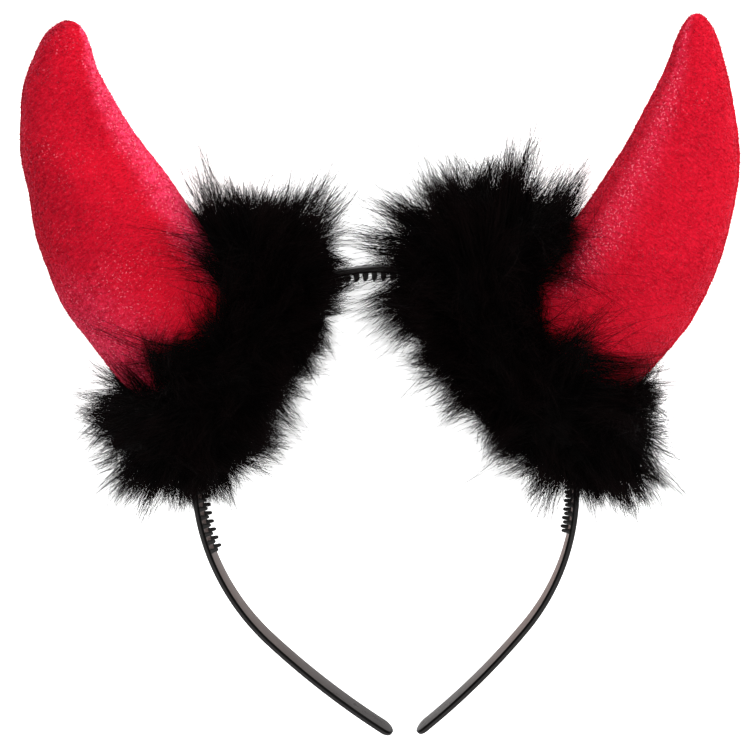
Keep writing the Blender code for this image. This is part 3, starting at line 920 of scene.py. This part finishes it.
def hold_clear(name, points, margin):
    """Push points of a fur out of its horn and of the band, off the floor and into its bulk"""
    stations = np.linspace(0, HORN_IN_FUR, HORN_IN_FUR_STATIONS)
    spine, (ahead, across, front), half_width, half_depth = horn_frames(name, stations)
    level = points @ ahead.T - (spine * ahead).sum(axis=1)
    nearest = np.abs(level).argmin(axis=1)
    offset = points - spine[nearest]
    side = (offset * across[nearest]).sum(axis=1) / half_width[nearest]
    rise = (offset * front[nearest]).sum(axis=1) / half_depth[nearest]
    radius = np.sqrt(side**2 + rise**2)
    room = 1 + margin / half_depth[nearest]
    inside = (radius < room) & (points[:, 1] > 0)
    push = np.where(inside, room / np.maximum(radius, LEAST_RADIUS) - 1, 0)
    shift = (
        across[nearest] * (side * half_width[nearest])[:, None]
        + front[nearest] * (rise * half_depth[nearest])[:, None]
    )
    points = transformed(points + shift * push[:, None], seat_matrix(name))

    (crown_centre, crown_radius, _, _), (side_centre, side_radius, _, _) = arc_starts()[:2]
    flat = np.stack((np.abs(points[:, 0]), points[:, 1]), axis=1)
    from_side, from_crown = flat - side_centre, flat - crown_centre
    past_crown = np.arctan2(from_side[:, 0], from_side[:, 1]) > CROWN_SWEEP
    off_line = np.where(
        past_crown,
        np.linalg.norm(from_side, axis=1) - side_radius,
        np.linalg.norm(from_crown, axis=1) - crown_radius,
    )
    in_band = (np.abs(off_line) < BAND_THICKNESS / 2) & (np.abs(points[:, 2]) < BAND_WIDTH / 2)
    aside = np.where(points[:, 2] < 0, -1, 1) * (BAND_WIDTH / 2 + np.abs(off_line))
    points[:, 2] = np.where(in_band, aside, points[:, 2])

    lowest = -CROWN.z + margin
    lifted = points[:, 1] * sin(REST_TILT) + points[:, 2] * cos(REST_TILT)
    shift = np.clip(lifted, lowest, HIGHEST_HAIR - CROWN.z) - lifted
    points[:, 1] += shift * sin(REST_TILT)
    points[:, 2] += shift * cos(REST_TILT)
    points[:, 0] = np.clip(points[:, 0], -WIDEST_HAIR - CROWN.x, WIDEST_HAIR - CROWN.x)
    return points


# %% [markdown]
# Under the pile is the knitted backing of the fur. It hardly shows, but it closes the ring, so that
# no daylight comes through between the hairs. Small waves keep it from looking turned on a lathe.

# %% The backing
BACKING_STATIONS = 120
BACKING_SIDES = 32
BACKING_SHARE = 0.88
BACKING_WAVE, BACKING_WAVE_LENGTH, BACKING_SEED = 0.0008, 0.006, 41
BACKING_GAP = 0.0004


def make_backing(name, finish):
    """The closed ring under the hairs of one fur"""
    around, angle = np.meshgrid(
        np.arange(BACKING_STATIONS) / BACKING_STATIONS,
        2 * pi * np.arange(BACKING_SIDES) / BACKING_SIDES,
        indexing="ij",
    )
    middle, rim = fur_shape(name, around.ravel(), angle.ravel())
    points = middle + (rim - middle) * BACKING_SHARE
    points += waves(points, BACKING_WAVE_LENGTH, BACKING_SEED) * BACKING_WAVE
    points = hold_clear(name, points, BACKING_GAP)
    quads = ring_quads(BACKING_STATIONS + 1, BACKING_SIDES) % len(points)
    if HORNS[name]["side"] > 0:
        quads = quads[:, ::-1]
    mesh_piece(f"fur_{name}_backing", points, quads, (), finish, "black_fur", f"fur_{name}")


# %% [markdown]
# Hair is drawn as Blender artists comb it, with a few guides first. Nine hundred of them stand on
# each ring and bend with a slow random field. Most end near the dense outline and a few run on as
# long wisps. A short table names the patches that are brushed longer or worn shorter, and those
# over the horns are longer and curlier, with fewer hairs to come. Guides that would meet the
# table turn along it, and will carry few hairs, because they only show as a fringe.

# %% The guides of the pile
FUR_GUIDES = 900
# How far up the ring's thickness a hair starts
ROOT_SHARE = 0.78
# The stretch of the ring that grows guides, around it and in angle up from outwards
GUIDES_FROM, GUIDES_TO = (0.0, -0.80 * pi), (1.0, 0.62 * pi)
# How far guides reach past the dense outline: shares of a lock, and metres more for a wisp
PILE_LENGTHS = 0.92, 1.72
WISP_LENGTHS = 0.0020, 0.0080
WISP_SHARE, WISP_HAIRS = 0.20, 0.45
TUFT_FULLNESS = 0.6, 1.4
BEND, BEND_LENGTH, BEND_DISORDER, MOST_BEND = 0.30, 0.018, 0.20, 0.55
# Over the horns hairs are this much longer, and this share of them is left out
OVER_HORN = {"left": 0.55, "right": 0.60}
OVER_HORN_THINNING = 0.45
FRONT_SHORTENING = 0.50
# Guides that turn along the table: how much shorter, from which turn on, and their share of hairs
FLOOR_SHORTENING, UNDER_TURN, UNDER_SHARE = 0.55, 0.25, 0.22
FLOOR_GAP = 0.0006
# Patches that are brushed longer or worn shorter: around, angle up, how much of the length
COMBED_AROUND, COMBED_ANGLE = 0.09, 0.45
COMBED = {
    "left": ((0.00, 0.65, -0.35), (0.00, 0.00, 0.35), (0.97, 1.60, 0.10), (0.50, -0.80, -0.20)),
    "right": ((0.00, -0.70, 0.60), (0.00, 0.70, -0.30), (0.04, 1.60, 0.45), (0.50, -0.70, -0.25)),
}


def splayed(name, roots, facing, lengths):
    """Directions of hairs that would meet the floor, turned along it until they just clear it"""
    to_row = np.array(BAND_TO_ROW @ seat_matrix(name))
    upright = to_row[2, :3]
    room = np.maximum(roots @ upright + to_row[2, 3] - FLOOR_GAP, 0) / lengths
    rise = facing @ upright
    flat = facing - rise[:, None] * upright
    flat /= np.maximum(np.linalg.norm(flat, axis=1), 1e-6)[:, None]
    rise = np.maximum(rise, -np.minimum(room, 1))
    return flat * np.sqrt(1 - rise**2)[:, None] + rise[:, None] * upright


def comb_guides(name, luck):
    """Where the guides of one fur stand and how they run, in the seat's frame"""
    places = even_places(
        lambda around, angle: fur_shape(name, around, angle)[1],
        FUR_GUIDES, luck, GUIDES_FROM, GUIDES_TO,
    )
    around, angle = places.T
    middle, rim = fur_shape(name, around, angle)
    free = rim - middle
    thickness = np.linalg.norm(free, axis=1)
    free /= thickness[:, None]
    # From 0 to 1 as a guide at the front points more and more up the horn
    over_horn = np.clip(free[:, 1] * 2 - 0.4, 0, 1) * (np.sin(2 * pi * around) > 0.1)

    wisp = luck.random(FUR_GUIDES) < WISP_SHARE * (1 + over_horn)
    beyond = LOCK_LENGTH * luck.uniform(*PILE_LENGTHS, FUR_GUIDES)
    for at_around, at_angle, change in COMBED[name]:
        apart = (around - at_around + 0.5) % 1 - 0.5
        near = np.exp(-((apart / COMBED_AROUND) ** 2) - ((angle - at_angle) / COMBED_ANGLE) ** 2)
        beyond *= 1 + change * near
    beyond *= 1 + OVER_HORN[name] * over_horn
    beyond += wisp * luck.uniform(*WISP_LENGTHS, FUR_GUIDES)
    lengths = thickness * (1 - ROOT_SHARE) + beyond
    lengths *= 1 - FRONT_SHORTENING * np.clip(free[:, 2] * 1.5 - 0.5, 0, 1)

    roots = middle + (rim - middle) * ROOT_SHARE
    facing = splayed(name, roots, free, lengths)
    turned = np.clip(np.linalg.norm(facing - free, axis=1), 0, 1)
    lengths *= 1 - FLOOR_SHORTENING * turned
    bend = waves(rim, BEND_LENGTH, FURS[name]["seed"]) * BEND
    bend = bend + luck.normal(size=rim.shape) * BEND_DISORDER
    bend *= (np.minimum(1, MOST_BEND / np.linalg.norm(bend, axis=1)) * (1 + over_horn))[:, None]
    hairs = np.where(wisp, WISP_HAIRS, 1.0) * (1 - over_horn * OVER_HORN_THINNING)
    hairs = hairs * luck.uniform(*TUFT_FULLNESS, FUR_GUIDES)
    hairs *= np.where(turned > UNDER_TURN, UNDER_SHARE, 1.0)
    return {
        "around": around, "angle": angle, "thickness": thickness, "roots": roots, "facing": facing,
        "lengths": lengths, "bend": bend, "wisp": wisp, "hairs": hairs,
    }


# %% [markdown]
# Then many hairs gather around each guide and come together at its tip, which makes the pointed
# tufts of real pile. A fifth of them stay loose, as the haze of single hairs between the tufts.
# Each hair has its own length, frizz and crimp, because hairs that run parallel look like brushes.

# %% Hairs around the guides
FUR_HAIRS = 52500
HAIR_STEPS = 4
HAIR_LENGTHS = 0.60, 1.06
TUFT_RADIUS = 0.0031
# How far hairs are drawn in to their guide at its tip, for loose hairs and for those of a tuft
LOOSE_SHARE = 0.20
LOOSE_GATHER, TUFT_GATHER = (0.0, 0.4), (0.78, 0.98)
FRIZZ, LOOSE_FRIZZ = 0.11, 1.7
CRIMP, CRIMP_TURNS, CRIMP_PHASES = 0.035, (3, 7), (0, 6)


def hair_paths(name, luck):
    """Rows of points for every hair of one fur, in the seat's frame, and whether it is in a wisp"""
    guides = comb_guides(name, luck)
    chance = guides["hairs"] / guides["hairs"].sum()
    owner = np.sort(luck.choice(FUR_GUIDES, FUR_HAIRS, p=chance))
    own = {title: values[owner] for title, values in guides.items()}
    girth = 2 * pi * (HORNS[name]["width"] + HORNS[name]["depth"]) / 4
    spread = luck.normal(size=(FUR_HAIRS, 2)) * TUFT_RADIUS
    around = own["around"] + spread[:, 0] / girth
    angle = own["angle"] + spread[:, 1] / own["thickness"]
    middle, rim = fur_shape(name, around, angle)
    roots = middle + (rim - middle) * ROOT_SHARE

    loose = luck.random(FUR_HAIRS) < LOOSE_SHARE
    loosely, tightly = (luck.uniform(*gather, FUR_HAIRS) for gather in (LOOSE_GATHER, TUFT_GATHER))
    gather = np.where(loose, loosely, tightly)
    lengths = own["lengths"] * luck.uniform(*HAIR_LENGTHS, FUR_HAIRS)
    frizz = luck.normal(size=(FUR_HAIRS, 3)) * FRIZZ * np.where(loose, LOOSE_FRIZZ, 1.0)[:, None]
    t = np.linspace(0, 1, HAIR_STEPS + 1)[None, :, None]
    straight = own["facing"][:, None, :] * t
    bent = (own["bend"] + frizz)[:, None, :] * t**2
    offset = (roots - own["roots"])[:, None, :] * (1 - gather[:, None, None] * t**1.4)
    each = (FUR_HAIRS, 1, 1)
    crimp = np.sin(t * luck.uniform(*CRIMP_TURNS, each) + luck.uniform(*CRIMP_PHASES, each))
    crimp = crimp * luck.normal(size=(FUR_HAIRS, 1, 3)) * CRIMP * t
    paths = own["roots"][:, None, :] + offset + (straight + bent + crimp) * lengths[:, None, None]
    return paths, own["wisp"]


# %% [markdown]
# Blender's own hair would need converting before it counts as a surface, so each hair is a narrow
# ribbon of four steps that ends in a point, turned its own way about its length. A ribbon costs
# seven triangles, where a round tube of the same steps would take more than forty.

# %% Ribbons for the hairs
PILE_SEED = 100
PILE_PIECES = 2
# The width of most hairs, the shares of it that they vary over, and a wisp's share of it
HAIR_WIDTH, HAIR_WIDTHS, WISP_WIDTH = 0.00018, (0.6, 1.15), 0.75
HAIR_TAPER = 0.75


def ribbons(paths, widths, luck):
    """Ribbons along rows of points, each with its own turn, which narrow to a point"""
    count, steps = paths.shape[0], paths.shape[1] - 1
    way = paths[:, -1] - paths[:, 0]
    aside = unit(np.cross(way, luck.normal(size=way.shape)))
    share = 1 - (np.arange(steps) / steps) ** 1.5 * HAIR_TAPER
    half = aside[:, None, :] * (widths[:, None] * share / 2)[:, :, None]
    edges = np.stack((paths[:, :-1] - half, paths[:, :-1] + half), axis=2)
    points = np.concatenate((edges.reshape(count, -1, 3), paths[:, -1:]), axis=1)
    per_hair = 2 * steps + 1
    starts = np.arange(count)[:, None, None] * per_hair
    rung = 2 * np.arange(steps - 1)[:, None] + np.array((0, 1, 3, 2))
    tip = np.array(((per_hair - 3, per_hair - 2, per_hair - 1),))
    return points.reshape(-1, 3), (starts + rung).reshape(-1, 4), (starts + tip).reshape(-1, 3)


def make_pile(name, finish):
    """All hairs of one fur, shared out among a few pieces, with how near each point is to a tip"""
    luck = np.random.default_rng(PILE_SEED + FURS[name]["seed"])
    paths, wisp = hair_paths(name, luck)
    paths = hold_clear(name, paths.reshape(-1, 3), FLOOR_GAP).reshape(paths.shape)
    widths = HAIR_WIDTH * luck.uniform(*HAIR_WIDTHS, len(paths)) * np.where(wisp, WISP_WIDTH, 1.0)
    to_tip = np.append(np.repeat(np.arange(HAIR_STEPS), 2), HAIR_STEPS) / HAIR_STEPS
    for number, share in enumerate(np.array_split(np.arange(len(paths)), PILE_PIECES), start=1):
        points, quads, tips = ribbons(paths[share], widths[share], luck)
        pile = mesh_piece(
            f"fur_{name}_pile_{number}", points, quads, tips,
            finish, "black_fur", f"fur_{name}", smooth=False,
        )
        add_values(pile, to_tip=np.tile(to_tip, len(share)))


# %% [markdown]
# Black fake fur is dyed acrylic. Almost all light that goes into such a pile is lost between the
# hairs, so its heart is black, and only single hairs catch a dull streak. A little brown painted
# towards the tips stands in for light shining through thin fibres, and keeps the loose wisps warm
# against a white ground.

# %% Black fur
HEART_BLACKS = (0.0004, 0.0003, 0.0003, 1), (0.0022, 0.0013, 0.0013, 1)
TIP_BACKLIT_BROWN = (0.0050, 0.0022, 0.0022, 1)

fur = Finish("black_fur")
where = fur.place()
tone = fur.noise(where, 420.0, 2.0)
streak = fur.noise(where, 2200.0, 2.0)
near_tip = fur.step(fur.value_of("to_tip"), 0.45, 1.0)
FUR = fur.surface({
    # Painted light: brown towards the tips, for light shining through them
    "Base Color": fur.blend(near_tip, fur.blend(tone, *HEART_BLACKS), TIP_BACKLIT_BROWN),
    "Roughness": 0.50 + streak * 0.25,
    "Specular IOR Level": 0.025,
})
for name in FURS:
    make_backing(name, FUR)
    make_pile(name, FUR)
print("triangles in all:", sum(TRIANGLES.values()))

# %% [markdown]
# Product pictures like this one are taken on a light table, so that the ground is plain white and
# no shadow shows. The floor here glows the same way, just under full white, and its faint mottle
# is that of matt acrylic. It is the stage and not a part of the headband.

# %% Floor
TABLE_SIZE = 6.0

floor_finish = Finish("pale_table")
where = floor_finish.place()
FLOOR = floor_finish.surface({
    "Base Color": floor_finish.blend(
        floor_finish.noise(where, 30.0, 2.0), (0.90, 0.90, 0.90, 1), (0.93, 0.93, 0.93, 1)
    ),
    "Roughness": 0.9,
    "Specular IOR Level": 0.1,
    "Emission Color": (1, 1, 1, 1),
    "Emission Strength": 0.95,
})
bpy.ops.mesh.primitive_plane_add(size=TABLE_SIZE, location=(0, 0, 0))
table = bpy.context.active_object
table.name = "table"
table.data.materials.append(FLOOR)

# %% [markdown]
# Three square soft lights give the form, as soft boxes do around a real table. The key light
# stands beyond the crown on the right. The inner curve of the left horn shows more pink than that
# of the right one, mostly as painted sheen in its velvet and partly from this key light. A wide
# weak one from the near left opens the shadows, and one almost overhead brings out the nap and the
# comb. An even white sky fills what is left.

# %% Lights
# Name, place, side length in metres, and power in watts
SOFT_LIGHTS = (
    ("key_light", (0.45, 0.60, 0.60), 0.60, 6.0),
    ("fill_light", (-0.65, -0.55, 0.75), 0.80, 2.2),
    ("front_light", (0.25, -0.10, 1.10), 0.70, 3.0),
)
LIT_POINT = Vector((0, 0, 0.02))
SKY_STRENGTH = 0.70


def soft_light(name, place, size, power):
    """A square light that looks at the headband"""
    data = bpy.data.lights.new(name, "AREA")
    data.shape = "SQUARE"
    data.size = size
    data.energy = power
    lamp = bpy.data.objects.new(name, data)
    bpy.context.scene.collection.objects.link(lamp)
    lamp.location = place
    lamp.rotation_euler = (LIT_POINT - lamp.location).to_track_quat("-Z", "Y").to_euler()
    print(f"{name}: {power:.1f} W")


for light in SOFT_LIGHTS:
    soft_light(*light)
world = bpy.data.worlds.new("studio")
bpy.context.scene.world = world
world.use_nodes = True
sky = world.node_tree.nodes["Background"].inputs
sky["Color"].default_value = (1.0, 1.0, 1.0, 1)
sky["Strength"].default_value = SKY_STRENGTH
bpy.context.scene.view_settings.view_transform = "Standard"

# %% [markdown]
# The camera looks down from 354 mm over the crown, turned a little as the photograph is. Its yaw
# and its roll are those at which the crown and both legs of the band fall on those in the
# photograph, and the lens follows from how many millimetres one pixel is at the crown.

# %% Camera
CAMERA_DISTANCE = 0.354
CAMERA_YAW = radians(-5.5)
CAMERA_ROLL = radians(3.9)
# How far right and up from the middle of the picture the crown is
CROWN_IN_VIEW = Vector((-0.0029, 0.0306, 0.0))
MM_PER_PIXEL = 0.29
FRAME_PIXELS = 750

to_view = Matrix.Rotation(CAMERA_ROLL, 3, "Z") @ Matrix.Rotation(CAMERA_YAW, 3, "Y")
camera_data = bpy.data.cameras.new("camera")
camera_data.sensor_width = 36
camera_data.lens = camera_data.sensor_width * CAMERA_DISTANCE * 1000 / (MM_PER_PIXEL * FRAME_PIXELS)
camera = bpy.data.objects.new("camera", camera_data)
bpy.context.scene.collection.objects.link(camera)
from_crown = to_view.transposed() @ (Vector((0, 0, CAMERA_DISTANCE)) - CROWN_IN_VIEW)
camera.matrix_world = Matrix.Translation(CROWN + from_crown) @ to_view.transposed().to_4x4()
bpy.context.scene.camera = camera
print(f"lens {camera_data.lens:.1f} mm, camera {camera.location.z * 1000:.0f} mm over the table")
